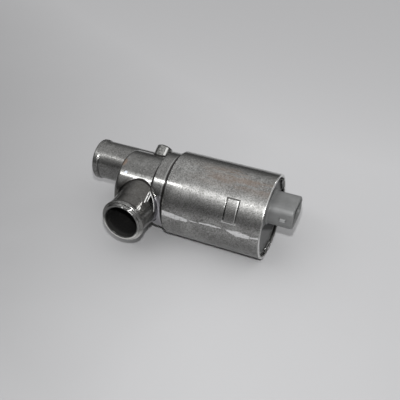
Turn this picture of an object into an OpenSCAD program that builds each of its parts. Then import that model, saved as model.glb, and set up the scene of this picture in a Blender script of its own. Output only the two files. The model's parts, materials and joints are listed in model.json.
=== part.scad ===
// Idle air control valve of the rotary slide kind.
// Millimetres. X is the main axis, origin at the middle of the barrel; +X points to the
// connector, the radial hose port points to -Y, and the valve lies on its barrel, +Z up.

/* [Barrel] */
// Outer diameter of the barrel
barrel_d = 45; // [44:0.5:48]
// Length of the barrel
barrel_len = 53; // [51:1:60]
// Wall of the barrel around the motor
barrel_wall = 2.3; // [2.1:0.1:2.5]
// Wall of the thin rim around the end cap
rim_wall = 1.6; // [1.3:0.1:1.8]
// Radius of the rounded edges of the barrel
barrel_edge = 0.6; // [0.3:0.1:0.7]
// Thickness of the front wall between the barrel's end and the motor space
front_wall = 2.5; // [2:0.1:3.5]
// Number of staked places of the rim
stake_count = 6; // [4:1:8]
// Angle that each staked place covers
stake_angle = 22; // [12:1:26]
// Reach of the staked metal over the end cap
stake_reach = 2; // [1.4:0.1:2.6]
// Start of the pressed rectangle, from the middle of the barrel
stamp_start = 6.5; // [0:0.5:10]
// Length of the pressed rectangle along the barrel
stamp_len = 6.9; // [5:0.1:9]
// First angle of the pressed rectangle above the radial port's direction
stamp_from = 13; // [5:1:20]
// Angle that the pressed rectangle covers
stamp_sweep = 33; // [20:1:45]
// Depth of the pressed rectangle
stamp_depth = 0.25; // [0.1:0.05:0.4]

/* [Neck and valve chamber] */
// Outer diameter of the neck
neck_d = 41; // [40:0.5:42]
// Length of the neck
neck_len = 8; // [6:0.5:10]
// Outer diameter of the valve chamber
chamber_d = 36.2; // [36:0.1:37]
// Length of the valve chamber beyond the neck
chamber_len = 20.5; // [20:0.5:24]
// How far the chamber's centre is moved towards the radial port
chamber_offset = 2.3; // [1.8:0.1:2.3]
// Radius of the chamber's rounded end
chamber_round = 3; // [1:0.5:4]
// Diameter of the air chamber in which the slide turns
air_bore_d = 28; // [27.6:0.1:28.4]
// Thickness of the chamber's end wall
end_wall = 2.5; // [2:0.1:3.5]
// Thickness of the wall between the air chamber and the motor space
partition = 6; // [5.5:0.1:7]

/* [Hose ports] */
// Bore of both hose ports
port_bore_d = 17.3; // [16.5:0.1:17.6]
// Outer diameter of the hose ports behind their beads
port_d = 21.8; // [21.2:0.1:22.2]
// Outer diameter of the beads
bead_d = 23; // [22.6:0.1:23.6]
// Length of the axial port's bead
axial_bead_len = 3.4; // [2.8:0.1:4.2]
// Length of the radial port's bead
radial_bead_len = 2.5; // [2:0.1:3.2]
// Length of the thin lip in front of the radial port's bead
lip_len = 1.1; // [0.6:0.1:1.4]
// Distance of the axial port from the main axis
axial_port_shift = 12.7; // [12.2:0.1:13.2]
// Reach of the axial port beyond the barrel's front end
axial_port_reach = 55.4; // [50:0.5:62]
// Length of the ridge that the axial port forms beside the chamber, from its end wall
ridge_len = 19; // [14:0.5:20]
// Distance of the radial port's axis from the barrel's front end
radial_port_station = 14.4; // [14:0.1:15]
// Reach of the radial port's mouth from the main axis
radial_port_reach = 37.8; // [36:0.1:42]
// Depth of the radial port's bore
radial_bore_depth = 21; // [19:0.1:21.2]
// Diameter of the radial port's cone at its root
root_d = 24.8; // [24:0.1:25.4]

/* [Air window and slide] */
// Length of the air window along the main axis
window_len = 11; // [8:0.5:12]
// Half the angle of the air window
window_half = 18; // [14:1:19]
// Angle by which the slide overlaps the window on each side
slide_lap = 6; // [3:0.5:7]
// Length by which the shutter covers the window at each end
shutter_lap = 1.6; // [1.2:0.1:2]
// Gap between the slide's hub and the wall behind it
hub_gap = 1.5; // [1.2:0.1:2]
// Wall of the slide's curved shutter
slide_wall = 1.5; // [1.2:0.1:2]
// Thickness of the slide's web
web_t = 1.8; // [1.4:0.1:2.4]
// Diameter of the slide's hub
hub_d = 9.2; // [8:0.1:10]
// Angle of the slide above the closed middle position as the valve lies
slide_rest = 14; // [8:1:18]
// Angle by which the slide can open further
slide_opens = 31; // [24:1:31]
// Angle by which the slide can close further
slide_closes = 20; // [14:1:22]

/* [Stop screw] */
// Diameter of the stop screw's boss
boss_d = 9; // [8.6:0.1:9.4]
// Height of the boss's end face along its own axis
boss_reach = 19; // [18:0.1:20.5]
// Distance of the boss's axis from the main axis
boss_shift = 8.8; // [8:0.1:9.4]
// Slope of the boss's axis above the horizontal
boss_slope = 30; // [28:1:32]
// Distance of the boss from the barrel's front end
boss_station = 13.9; // [13.6:0.1:14.8]
// Diameter of the stop screw
stop_screw_d = 4; // [3.6:0.1:4.2]
// Length of the stop screw
stop_screw_len = 13; // [12:0.5:14]
// Diameter of the sealing plug over the stop screw
plug_d = 5.6; // [5.2:0.1:6]
// Thickness of the sealing plug
plug_t = 1.8; // [1.2:0.1:2.4]

/* [Shaft and bearings] */
// Diameter of the shaft
shaft_d = 5; // [4.6:0.1:5.2]
// Outer diameter of the front bearing
front_bearing_d = 16; // [15.6:0.1:16.6]
// Width of the front bearing
front_bearing_w = 5; // [4.5:0.1:5.5]
// Outer diameter of the rear bearing
rear_bearing_d = 13; // [12.6:0.1:13.4]
// Width of the rear bearing
rear_bearing_w = 4; // [3.6:0.1:4.4]
// Number of balls in the front bearing
front_balls = 8; // [6:1:9]
// Number of balls in the rear bearing
rear_balls = 8; // [6:1:9]
// Width of the shaft seal
seal_w = 2.4; // [2:0.1:2.5]
// Diameter of the shaft seal
seal_d = 10; // [9.6:0.1:10.6]
// Thickness of the ring that keeps the front bearing in its seat
bearing_clip_t = 1; // [0.8:0.1:1.2]
// Thickness of the spring washer behind the rear bearing
washer_t = 0.3; // [0.2:0.05:0.4]

/* [Motor] */
// Gap between the front wall and the steel ring
flux_start = 5; // [4.6:0.1:6]
// Wall of the steel ring, in hundredths of the motor space's radius
flux_part = 9; // [7:0.5:10]
// Thickness of the magnets, in hundredths of the motor space's radius
magnet_part = 17; // [15:0.5:19]
// Length by which the steel ring stands beyond the magnets at each end
magnet_inset = 1.5; // [1:0.1:2]
// Angle of each magnet
magnet_angle = 124; // [110:1:130]
// Gap between the magnets and the armature
air_gap = 0.5; // [0.4:0.05:0.7]
// Length by which the magnets stand beyond the armature's stack at each end
stack_inset = 3; // [2.6:0.1:4]
// Width of each pole's neck, in hundredths of the armature's radius
neck_part = 35; // [28:1:39]
// Thickness of each pole's shoe, in hundredths of the armature's radius
shoe_part = 15; // [12:1:18]
// Angle of the slots between the pole shoes
slot_angle = 18; // [14:1:26]
// Thickness of the windings beside the necks, in hundredths of the armature's radius
winding_part = 21; // [17:1:22]
// Diameter of the commutator
commutator_d = 10; // [9.4:0.1:10.6]
// Length of the commutator
commutator_len = 6; // [5:0.1:6.4]

/* [Brushes and terminals] */
// Thickness of the brush plate
brush_plate_t = 2; // [1.5:0.1:2.4]
// Width of the brushes along the main axis
brush_w = 3.2; // [2.8:0.1:3.4]
// Width of the brushes across
brush_h = 4; // [3.4:0.1:4.4]
// Length of the brushes
brush_len = 6.5; // [5.5:0.1:7]
// Wall of the brush guides
guide_wall = 0.8; // [0.6:0.1:1]
// Wire of the brush springs
spring_wire = 0.4; // [0.3:0.05:0.5]
// Turns of the brush springs
spring_turns = 4; // [3:1:5]
// Width of the terminals
terminal_w = 2.4; // [2:0.1:2.8]
// Thickness of the terminals
terminal_t = 0.8; // [0.6:0.1:1]
// Distance between neighbouring terminals
terminal_pitch = 5; // [4.6:0.1:5.2]

/* [End cap and connector] */
// Thickness of the end cap's disc
cap_t = 2.2; // [2:0.1:2.8]
// Length of the skirt that the end cap reaches into the motor space, down to the brush plate
cap_skirt = 7.05; // [6.8:0.05:7.4]
// Depth of the end cap's face below the rim's edge
cap_recess = 1.8; // [1.4:0.1:2.4]
// Width of the connector shroud
shroud_w = 18.6; // [17.6:0.1:19.4]
// Height of the connector shroud
shroud_h = 12.6; // [12:0.1:13.4]
// Corner radius of the connector shroud
shroud_corner = 4.5; // [4:0.1:5.5]
// Length of the connector shroud beyond the end cap
shroud_len = 14; // [12.5:0.1:17]
// Wall of the connector shroud
shroud_wall = 1.4; // [1.2:0.1:1.8]
// Height of the connector's middle above the main axis
shroud_rise = 6.3; // [6:0.1:6.8]
// Depth of the connector's socket
socket_depth = 9.7; // [8.5:0.1:11]

/* [Clearances] */
// Gap between pieces that are pressed or set together
seat_gap = 0.05; // [0.03:0.01:0.08]
// Gap between a shaft and its press seats
press_gap = 0.02; // [0.02:0.01:0.03]
// Gap of the slide in its chamber and at its stops
running_gap = 0.3; // [0.25:0.01:0.35]
// Gap between the bearing balls and their grooves
ball_gap = 0.05; // [0.04:0.01:0.08]

/* [Hidden] */
$fn = 96;
cut = 1;

// Stations along the main axis
rim_x = barrel_len / 2;
front_x = -barrel_len / 2;
neck_x = front_x - neck_len;
chamber_x = neck_x - chamber_len;
cap_face_x = rim_x - cap_recess;
cap_seat_x = cap_face_x - cap_t;
motor_floor_x = front_x + front_wall;
air_floor_x = motor_floor_x - partition;
air_end_x = chamber_x + end_wall;
port_x = front_x - radial_port_station;
boss_x = front_x - boss_station;
axial_mouth_x = front_x - axial_port_reach;

// Radii of the casting
barrel_r = barrel_d / 2;
rim_r = barrel_r - rim_wall;
motor_r = barrel_r - barrel_wall;
neck_r = neck_d / 2;
chamber_r = chamber_d / 2;
air_r = air_bore_d / 2;
port_r = port_d / 2;
port_bore_r = port_bore_d / 2;
bead_r = bead_d / 2;
root_r = root_d / 2;
lip_r = bead_r - 1.2;
bead_edge = 0.9;
inner_bore_r = port_bore_r - 0.4;

// Radial port, measured outwards along its own axis from the main axis
radial_bead_top = radial_port_reach - lip_len;
radial_bead_root = radial_bead_top - radial_bead_len;
plain_len = 7;
cone_top = radial_bead_root - plain_len;
root_reach = 15;

// Slide
shaft_r = shaft_d / 2;
slide_half = window_half + slide_lap;
slide_r = air_r - running_gap;
shutter_len = window_len + 2 * shutter_lap;
hub_r = hub_d / 2;
rib_half = 3;
shutter_x = port_x - shutter_len / 2;
hub_x = shutter_x + 1;
hub_end_x = air_floor_x - hub_gap;
stop_play = asin(running_gap / slide_r) + 0.4;
open_edge = slide_rest + slide_opens + slide_half;
closed_edge = slide_rest - slide_closes - slide_half;

// Stop screw: the rim of its tip lies where the edge of the opened slide's web arrives
tip_reach = (boss_shift + stop_screw_d / 2) * tan(open_edge + stop_play - (90 - boss_slope));
plug_floor = boss_reach - plug_t - 0.6;
boss_r = boss_d / 2;

// Bearings
function ball_r(od) = 0.3 * (od / 2 - shaft_r);
function pitch_r(od) = (od / 2 + shaft_r) / 2;
front_bearing_x = air_floor_x + seal_w + 0.6;
front_bearing_end = front_bearing_x + front_bearing_w;
clip_x = front_bearing_end + seat_gap;
bearing_boss_x = clip_x + bearing_clip_t + 0.6;
bearing_boss_r = front_bearing_d / 2 + 2.2;
land_r = pitch_r(front_bearing_d) - 0.4 * ball_r(front_bearing_d);
rear_floor_x = cap_face_x - 1.9;
rear_bearing_end = rear_floor_x - washer_t - 0.35;
rear_bearing_x = rear_bearing_end - rear_bearing_w;
rear_boss_r = rear_bearing_d / 2 + 2;

// Seal ring of the end cap
seal_ring_r = 0.95;
seal_x = cap_seat_x - 0.9 - seal_ring_r;

// Shaft
slide_clip_t = 0.6;
clip_end_x = hub_x - seat_gap;
clip_opening = 3;
groove_depth = 0.5;
shaft_start_x = hub_x - slide_clip_t - 2;
shaft_end_x = rear_floor_x - 0.6;

// Brush gear, counted back from the end cap
poles = 3;
collar_x = cap_seat_x - cap_skirt;
brush_plate_x = collar_x - seat_gap - brush_plate_t;
guide_x = brush_plate_x - guide_wall - brush_w;
commutator_x = guide_x - (commutator_len - brush_w) / 2;

// Motor
flux_wall = flux_part / 100 * motor_r;
magnet_t = magnet_part / 100 * motor_r;
flux_gap = 0.6;
core_part = 17;
flux_r = motor_r - seat_gap;
magnet_r = flux_r - flux_wall - seat_gap;
armature_r = magnet_r - magnet_t - air_gap;
pole_neck = neck_part / 100 * armature_r;
shoe_t = shoe_part / 100 * armature_r;
winding_t = winding_part / 100 * armature_r;
flux_x = motor_floor_x + flux_start;
flux_len = guide_x - guide_wall - flux_gap - flux_x;
magnet_x = flux_x + magnet_inset;
magnet_len = flux_len - 2 * magnet_inset;
armature_x = magnet_x + stack_inset;
armature_len = magnet_len - 2 * stack_inset;
armature_end_x = armature_x + armature_len;
core_r = shaft_r + core_part / 100 * armature_r;
shoe_r = armature_r - shoe_t;
winding_end = 2.4;
commutator_r = commutator_d / 2;

// Radii of the brush gear
brush_plate_r = motor_r - 0.2;
brush_tip_r = commutator_r + 0.15;
brush_tail_r = brush_tip_r + brush_len;
guide_end_r = brush_plate_r - 1.2;
plate_bore_r = commutator_r + 1.2;
spring_seat_r = guide_end_r - guide_wall;

// Terminals
blade_z = shroud_rise;
lead_z = shroud_rise + shroud_h / 2 - shroud_wall - 0.2;
socket_floor_x = cap_face_x + shroud_len - socket_depth;
shroud_end_x = cap_face_x + shroud_len;
lead_x = (socket_floor_x + cap_face_x) / 2;
blade_len = 5;

// Turns a solid made along +Z so that it runs along +X
module along_x() { rotate([0, 90, 0]) children(); }

// Turns a solid made along +Z so that it runs along -Y, from the main axis outwards
module along_port() { translate([port_x, 0, 0]) rotate([90, 0, 0]) children(); }

// Turns a solid made along +Z so that it runs up the stop boss, from its nearest point
module along_boss() {
    translate([boss_x, 0, 0]) rotate([boss_slope, 0, 0])
        translate([0, 0, boss_shift]) rotate([-90, 0, 0]) children();
}

// A cylinder along +X between two stations
module rod_x(r, x0, x1) { translate([x0, 0, 0]) along_x() cylinder(r = r, h = x1 - x0); }

// A tube along +X between two stations
module tube_x(r_out, r_in, x0, x1) {
    difference() {
        rod_x(r_out, x0, x1);
        rod_x(r_in, x0 - cut, x1 + cut);
    }
}

// The part of a profile that a round edge of radius q takes off the corner at [r, x]
module edge_off(r, x, q, side) {
    difference() {
        translate([r - q, side > 0 ? x - q : x - cut]) square([q + cut, q + cut]);
        translate([r - q, x - side * q]) circle(r = q, $fn = 48);
    }
}

// A wedge of the main axis from angle a0 to a1, counted from -Y towards +Z
module sector_x(r_out, r_in, x0, x1, a0, a1) {
    translate([x1, 0, 0]) rotate([90, 0, -90]) rotate([0, 0, a0])
        rotate_extrude(angle = a1 - a0) translate([r_in, 0]) square([r_out - r_in, x1 - x0]);
}

// A rectangle with round corners about the origin
module round_rect(w, h, r) {
    square([w - 2 * r, h], center = true);
    square([w, h - 2 * r], center = true);
    for (sx = [-1, 1], sy = [-1, 1])
        translate([sx * (w / 2 - r), sy * (h / 2 - r)]) circle(r = r, $fn = 48);
}

// The barrel and its neck as one turned form
module barrel_form() {
    along_x() rotate_extrude() difference() {
        union() {
            translate([0, front_x]) square([barrel_r, barrel_len]);
            translate([0, neck_x]) square([neck_r, neck_len + cut]);
        }
        edge_off(barrel_r, rim_x, 0.3, 1);
        edge_off(barrel_r, front_x, barrel_edge, -1);
        edge_off(neck_r, neck_x, barrel_edge, -1);
    }
}

// The valve chamber, whose centre lies nearer to the radial port
module chamber_form() {
    translate([0, -chamber_offset, 0]) along_x() rotate_extrude() difference() {
        translate([0, chamber_x]) square([chamber_r, chamber_len + cut]);
        edge_off(chamber_r, chamber_x, chamber_round, -1);
    }
}

// The axial hose port with its bead and the ridge beside the chamber
module axial_port_form() {
    bead_end = axial_mouth_x + axial_bead_len;
    ridge_x = chamber_x + ridge_len;
    translate([0, axial_port_shift, 0]) along_x() rotate_extrude() difference() {
        union() {
            translate([0, axial_mouth_x]) square([port_r, ridge_x - axial_mouth_x]);
            translate([0, axial_mouth_x]) square([bead_r, axial_bead_len]);
        }
        edge_off(bead_r, axial_mouth_x, bead_edge, -1);
        edge_off(bead_r, bead_end, bead_edge / 2, 1);
        edge_off(port_r, ridge_x, chamber_round, 1);
    }
}

// The radial hose port: lip, bead, plain stretch and drafted cone
module radial_port_form() {
    along_port() rotate_extrude() difference() {
        polygon([[0, 2], [root_r + 1.6, root_reach - 2], [root_r + 0.4, root_reach],
            [root_r, root_reach + 1.6], [port_r, cone_top], [port_r, radial_bead_root],
            [bead_r, radial_bead_root], [bead_r, radial_bead_top], [lip_r, radial_bead_top],
            [lip_r, radial_port_reach], [0, radial_port_reach]]);
        edge_off(bead_r, radial_bead_top, bead_edge, 1);
        edge_off(lip_r, radial_port_reach, 0.5, 1);
    }
}

// The boss of the stop screw, rounded at its end face
module stop_boss_form() {
    along_boss() rotate_extrude() difference() {
        square([boss_r, boss_reach]);
        edge_off(boss_r, boss_reach, 0.7, 1);
    }
}

// All hollows that are turned about the main axis
module motor_hollow() {
    rod_x(rim_r, cap_seat_x, rim_x + cut);
    rod_x(motor_r, bearing_boss_x, cap_seat_x + cut);
    tube_x(motor_r, bearing_boss_r, motor_floor_x, bearing_boss_x + cut);
    rod_x(front_bearing_d / 2, front_bearing_x, bearing_boss_x + cut);
    rod_x(front_bearing_d / 2 + 0.6, clip_x, clip_x + bearing_clip_t + 2 * seat_gap);
    rod_x(land_r, air_floor_x, front_bearing_x + cut);
    rod_x(seal_d / 2, air_floor_x - cut, air_floor_x + seal_w + seat_gap);
}

// The air passages: chamber, window, both ports
module air_hollow() {
    rod_x(air_r, air_end_x, air_floor_x);
    translate([0, axial_port_shift, 0]) {
        rod_x(port_bore_r, axial_mouth_x - cut, chamber_x);
        rod_x(inner_bore_r, chamber_x - cut, chamber_x + ridge_len - end_wall - 1);
    }
    along_port() translate([0, 0, radial_port_reach - radial_bore_depth])
        cylinder(r = port_bore_r, h = radial_bore_depth + cut);
    window_h = 2 * air_r * sin(window_half);
    along_port() translate([0, 0, air_r - 4]) linear_extrude(height = 8)
        round_rect(window_len, window_h, 1.2);
}

// The stepped hole of the stop screw
module boss_hollow() {
    along_boss() {
        cylinder(r = stop_screw_d / 2 + seat_gap, h = boss_reach);
        translate([0, 0, plug_floor]) cylinder(r = plug_d / 2 + seat_gap, h = boss_reach);
    }
}

// The rim's metal where it is staked inwards over the end cap
module rim_stakes() {
    for (i = [0 : stake_count - 1])
        sector_x(rim_r + 0.4, rim_r - stake_reach, cap_face_x + seat_gap, rim_x - 0.6,
            90 + i * 360 / stake_count - stake_angle / 2,
            90 + i * 360 / stake_count + stake_angle / 2);
}

module housing() {
    color([0.62, 0.62, 0.6]) {
        difference() {
            union() {
                barrel_form();
                chamber_form();
                axial_port_form();
                radial_port_form();
                stop_boss_form();
            }
            motor_hollow();
            air_hollow();
            boss_hollow();
            sector_x(barrel_r + cut, barrel_r - stamp_depth, stamp_start,
                stamp_start + stamp_len, stamp_from, stamp_from + stamp_sweep);
        }
        closed_stop();
        rim_stakes();
    }
}

// The cast rib at which the closing slide stops
module closed_stop() {
    sector_x(air_r + 0.5, slide_r - slide_wall + 0.2, port_x - 3.5, port_x + 3.5,
        closed_edge - stop_play - 6, closed_edge - stop_play);
}

module stop_screw() {
    color([0.5, 0.48, 0.42]) along_boss() difference() {
        translate([0, 0, tip_reach]) cylinder(r = stop_screw_d / 2, h = stop_screw_len);
        translate([-stop_screw_d, -0.4, tip_reach + stop_screw_len - 1])
            cube([2 * stop_screw_d, 0.8, 1 + cut]);
    }
}

module screw_plug() {
    color([0.75, 0.72, 0.6]) along_boss() translate([0, 0, plug_floor + seat_gap])
        rotate_extrude() difference() {
            square([plug_d / 2, plug_t]);
            translate([0, plug_t + 3.4]) circle(r = 4);
        }
}

// The path of one terminal: blade in the socket, riser, lead to the brush plate
module terminal_path(y, grow) {
    g = grow;
    blade_end = socket_floor_x + blade_len;
    translate([lead_x - g, y - terminal_w / 2 - g, blade_z - terminal_t / 2 - g])
        cube([blade_end - lead_x + 2 * g, terminal_w + 2 * g, terminal_t + 2 * g]);
    translate([lead_x - g, y - terminal_w / 2 - g, blade_z - terminal_t / 2 - g])
        cube([terminal_t + 2 * g, terminal_w + 2 * g, lead_z - blade_z + terminal_t + 2 * g]);
    translate([collar_x, y - terminal_w / 2 - g, lead_z - terminal_t / 2 - g])
        cube([lead_x + terminal_t + g - collar_x, terminal_w + 2 * g, terminal_t + 2 * g]);
}

module terminal(i) {
    color([0.72, 0.6, 0.35]) terminal_path((i - 2) * terminal_pitch, 0);
}

// A rounded rectangle about the connector's middle, drawn out between two stations
module shroud_form(w, h, r, x0, x1) {
    translate([x0, 0, shroud_rise]) rotate([90, 0, 90])
        linear_extrude(height = x1 - x0) round_rect(w, h, r);
}

module end_cap() {
    color([0.28, 0.29, 0.29]) difference() {
        union() {
            along_x() rotate_extrude() difference() {
                translate([0, cap_seat_x]) square([rim_r - seat_gap, cap_t]);
                edge_off(rim_r - seat_gap, cap_face_x, 0.4, 1);
            }
            tube_x(motor_r - seat_gap, motor_r - 3, collar_x, cap_seat_x + cut);
            rod_x(rear_boss_r, rear_bearing_x, cap_seat_x + cut);
            for (a = [0 : 60 : 300]) rotate([a, 0, 0]) translate([collar_x + 1, -0.6, rear_boss_r - 1])
                cube([cap_seat_x - collar_x, 1.2, motor_r - rear_boss_r]);
            shroud_form(shroud_w, shroud_h, shroud_corner, cap_seat_x + 0.2, shroud_end_x);
            shroud_form(shroud_w + 1.6, shroud_h + 1.6, shroud_corner + 0.8,
                cap_seat_x + 0.2, cap_face_x + 1);
            locking_rib();
        }
        shroud_form(shroud_w - 2 * shroud_wall, shroud_h - 2 * shroud_wall,
            shroud_corner - shroud_wall, socket_floor_x, shroud_end_x + cut);
        rod_x(rear_bearing_d / 2 + seat_gap, rear_bearing_x - cut, rear_floor_x);
        seal_groove();
        for (i = [1 : 3]) terminal_path((i - 2) * terminal_pitch, seat_gap);
    }
}

// The small rib on the connector's side, on which a plug's latch holds
module locking_rib() {
    translate([shroud_end_x - 6.6, -shroud_w / 2 - 0.8, shroud_rise + 0.2])
        cube([3, 1.4, 1.6]);
}

// The groove of the end cap's seal ring
module seal_groove() {
    tube_x(motor_r + cut, motor_r - 2 * seal_ring_r, seal_x - 1.1, seal_x + 1.1);
}

module end_cap_seal() {
    color([0.08, 0.08, 0.08]) translate([seal_x, 0, 0]) along_x() rotate_extrude()
        translate([motor_r - seat_gap - seal_ring_r + 0.02, 0])
            circle(r = seal_ring_r - 0.03, $fn = 32);
}

// Turns a solid that points along +Z to the place of one brush around the commutator
module at_brush(i) { rotate([(i - 1) * 360 / poles, 0, 0]) children(); }

module brush_plate() {
    color([0.35, 0.25, 0.15]) {
        difference() {
            union() {
                rod_x(brush_plate_r, brush_plate_x, brush_plate_x + brush_plate_t);
                for (i = [1 : 3]) at_brush(i) translate([guide_x - guide_wall,
                    -brush_h / 2 - guide_wall, plate_bore_r + 0.6])
                        cube([brush_w + 2 * guide_wall + cut, brush_h + 2 * guide_wall,
                            guide_end_r - plate_bore_r - 0.6]);
            }
            rod_x(plate_bore_r, guide_x - 2, brush_plate_x + brush_plate_t + cut);
            for (i = [1 : 3]) at_brush(i) translate([guide_x - seat_gap,
                -brush_h / 2 - seat_gap, 0])
                    cube([brush_w + 2 * seat_gap, brush_h + 2 * seat_gap, spring_seat_r]);
        }
    }
}

module brush(i) {
    color([0.15, 0.14, 0.14]) at_brush(i) difference() {
        translate([guide_x, -brush_h / 2, brush_tip_r - 0.4]) cube([brush_w, brush_h, brush_len]);
        rod_x(brush_tip_r, guide_x - cut, guide_x + brush_w + cut);
    }
}

// A round wire wound about +Z: turns of a helix with flat ends cut by its own length
module coil(r, wire, height, turns) {
    steps = turns * 20;
    sides = 6;
    points = [for (i = [0 : steps]) let (a = 360 * turns * i / steps, z = height * i / steps)
        for (k = [0 : sides - 1]) let (b = 360 * k / sides)
            [(r + wire / 2 * cos(b)) * cos(a), (r + wire / 2 * cos(b)) * sin(a),
                z + wire / 2 * sin(b)]];
    walls = [for (i = [0 : steps - 1], k = [0 : sides - 1]) let (n = (k + 1) % sides)
        [i * sides + k, (i + 1) * sides + k, (i + 1) * sides + n, i * sides + n]];
    start = [[for (k = [0 : sides - 1]) k]];
    end = [[for (k = [sides - 1 : -1 : 0]) steps * sides + k]];
    polyhedron(points = points, faces = concat(start, walls, end), convexity = 6);
}

module brush_spring(i) {
    spring_start = brush_tail_r - 0.4 + seat_gap + spring_wire / 2;
    spring_len = spring_seat_r - seat_gap - spring_wire / 2 - spring_start;
    color([0.7, 0.7, 0.7]) at_brush(i)
        translate([guide_x + brush_w / 2, 0, spring_start])
            coil(brush_w / 2 - spring_wire / 2 - 0.2, spring_wire, spring_len, spring_turns);
}

module flux_ring() {
    color([0.45, 0.45, 0.47]) tube_x(flux_r, flux_r - flux_wall, flux_x, flux_x + flux_len);
}

module magnet(middle) {
    color([0.2, 0.2, 0.22]) sector_x(magnet_r, magnet_r - magnet_t, magnet_x,
        magnet_x + magnet_len, middle - magnet_angle / 2, middle + magnet_angle / 2);
}

// Two bent leaf springs that press the magnets apart
module magnet_clips() {
    inner = magnet_r - magnet_t + 0.1;
    reach = inner * tan((180 - magnet_angle) / 2) - seat_gap;
    leaf = 0.6;
    arm = 1.4;
    color([0.6, 0.6, 0.62]) for (s = [0, 180]) rotate([s, 0, 0])
        translate([magnet_x + 2, -inner, 0]) rotate([90, 0, 90])
            linear_extrude(height = magnet_len - 4) {
                translate([-leaf, -reach]) square([leaf, 2 * reach]);
                translate([-arm, -reach]) square([arm, leaf]);
                translate([-arm, reach - leaf]) square([arm, leaf]);
            }
}

module bearing_outer_ring(od, x, w) {
    b = ball_r(od);
    p = pitch_r(od);
    color([0.75, 0.76, 0.78]) translate([x, 0, 0]) along_x() rotate_extrude() difference() {
        translate([p + 0.65 * b, 0]) square([od / 2 - seat_gap - p - 0.65 * b, w]);
        translate([p, w / 2]) circle(r = b + ball_gap, $fn = 48);
        edge_off(od / 2 - seat_gap, w, 0.3, 1);
        edge_off(od / 2 - seat_gap, 0, 0.3, -1);
    }
}

module bearing_inner_ring(od, x, w) {
    b = ball_r(od);
    p = pitch_r(od);
    color([0.75, 0.76, 0.78]) translate([x, 0, 0]) along_x() rotate_extrude() difference() {
        translate([shaft_r + press_gap, 0]) square([p - 0.65 * b - shaft_r - press_gap, w]);
        translate([p, w / 2]) circle(r = b + ball_gap, $fn = 48);
    }
}

module bearing_balls(od, x, w, count) {
    color([0.8, 0.8, 0.82]) for (i = [0 : count - 1]) rotate([i * 360 / count, 0, 0])
        translate([x + w / 2, 0, pitch_r(od)]) sphere(r = ball_r(od), $fn = 32);
}

// A split ring in the bearing seat's groove
module front_bearing_clip() {
    ring_r = front_bearing_d / 2 + 0.6 - seat_gap;
    color([0.4, 0.4, 0.42]) difference() {
        tube_x(ring_r, ring_r - 1.8, clip_x + seat_gap, clip_x + seat_gap + bearing_clip_t);
        translate([clip_x - cut, -1.8, 0]) cube([4, 3.6, ring_r + cut]);
    }
}

// The seal: a body pressed into the wall and a thin lip close to the shaft
module shaft_seal() {
    color([0.12, 0.11, 0.1]) translate([air_floor_x + seat_gap, 0, 0]) along_x()
        rotate_extrude() {
            translate([seal_d / 2 - seat_gap - 1, 0]) square([1, seal_w - seat_gap]);
            translate([shaft_r + seat_gap, 0])
                square([seal_d / 2 - seat_gap - shaft_r - seat_gap - 0.5, 0.8]);
        }
}

// A dished spring washer between the cap's seat and the rear bearing's outer ring
module preload_washer() {
    r0 = pitch_r(rear_bearing_d) + 0.75 * ball_r(rear_bearing_d);
    r1 = rear_bearing_d / 2 - 0.2;
    dish = rear_floor_x - rear_bearing_end - washer_t - 2 * seat_gap;
    color([0.7, 0.7, 0.72]) translate([rear_bearing_end + seat_gap, 0, 0]) along_x()
        rotate_extrude() polygon([[r0, 0], [r1, dish], [r1, dish + washer_t], [r0, washer_t]]);
}

module shaft() {
    color([0.78, 0.78, 0.8]) difference() {
        along_x() rotate_extrude() difference() {
            translate([0, shaft_start_x]) square([shaft_r, shaft_end_x - shaft_start_x]);
            edge_off(shaft_r, shaft_start_x, 0.4, -1);
            edge_off(shaft_r, shaft_end_x, 0.4, 1);
        }
        tube_x(shaft_r + cut, shaft_r - groove_depth, clip_end_x - slide_clip_t - seat_gap,
            clip_end_x + seat_gap);
    }
}

// The slide: a hub, a web and a curved shutter in front of the air window
module rotary_slide() {
    mid = slide_rest;
    color([0.7, 0.68, 0.62]) difference() {
        union() {
            rod_x(hub_r, hub_x, hub_end_x);
            sector_x(slide_r - slide_wall / 2, hub_r - 1, port_x - web_t / 2, port_x + web_t / 2,
                mid - slide_half, mid + slide_half);
            sector_x(slide_r, slide_r - slide_wall, shutter_x, shutter_x + shutter_len,
                mid - slide_half, mid + slide_half);
            sector_x(slide_r - slide_wall / 2, hub_r - 1, shutter_x + 1.5,
                shutter_x + shutter_len - 0.5, mid - rib_half, mid + rib_half);
        }
        rod_x(shaft_r + press_gap, hub_x - cut, hub_end_x + cut);
    }
}

// An open ring that snaps into the shaft's groove in front of the slide
module slide_clip() {
    color([0.3, 0.3, 0.32]) difference() {
        tube_x(shaft_r + 1.4, shaft_r - groove_depth + press_gap, clip_end_x - slide_clip_t,
            clip_end_x);
        translate([clip_end_x - slide_clip_t - cut, -clip_opening / 2, 0])
            cube([slide_clip_t + 2 * cut, clip_opening, shaft_r + 2]);
    }
}

// The sleeve that keeps the armature away from the front bearing
module spacer_sleeve() {
    color([0.75, 0.65, 0.3]) tube_x(shaft_r + 1.2, shaft_r + press_gap,
        front_bearing_end + seat_gap, armature_x - seat_gap);
}

// One pole in section: neck and curved shoe, pointing up
module pole_section() {
    translate([-pole_neck / 2, 0]) square([pole_neck, shoe_r + 0.5]);
    intersection() {
        difference() {
            circle(r = armature_r);
            circle(r = shoe_r);
        }
        shoe_half = 180 / poles - slot_angle / 2;
        polygon([[0, 0], 2 * armature_r * [-sin(shoe_half), cos(shoe_half)],
            [0, 3 * armature_r], 2 * armature_r * [sin(shoe_half), cos(shoe_half)]]);
    }
}

module armature_core() {
    color([0.4, 0.4, 0.42]) translate([armature_x, 0, 0]) rotate([90, 0, 90])
        linear_extrude(height = armature_len) difference() {
            union() {
                circle(r = core_r);
                for (i = [0 : poles - 1]) rotate(i * 360 / poles) pole_section();
            }
            circle(r = shaft_r + press_gap);
        }
}

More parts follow.
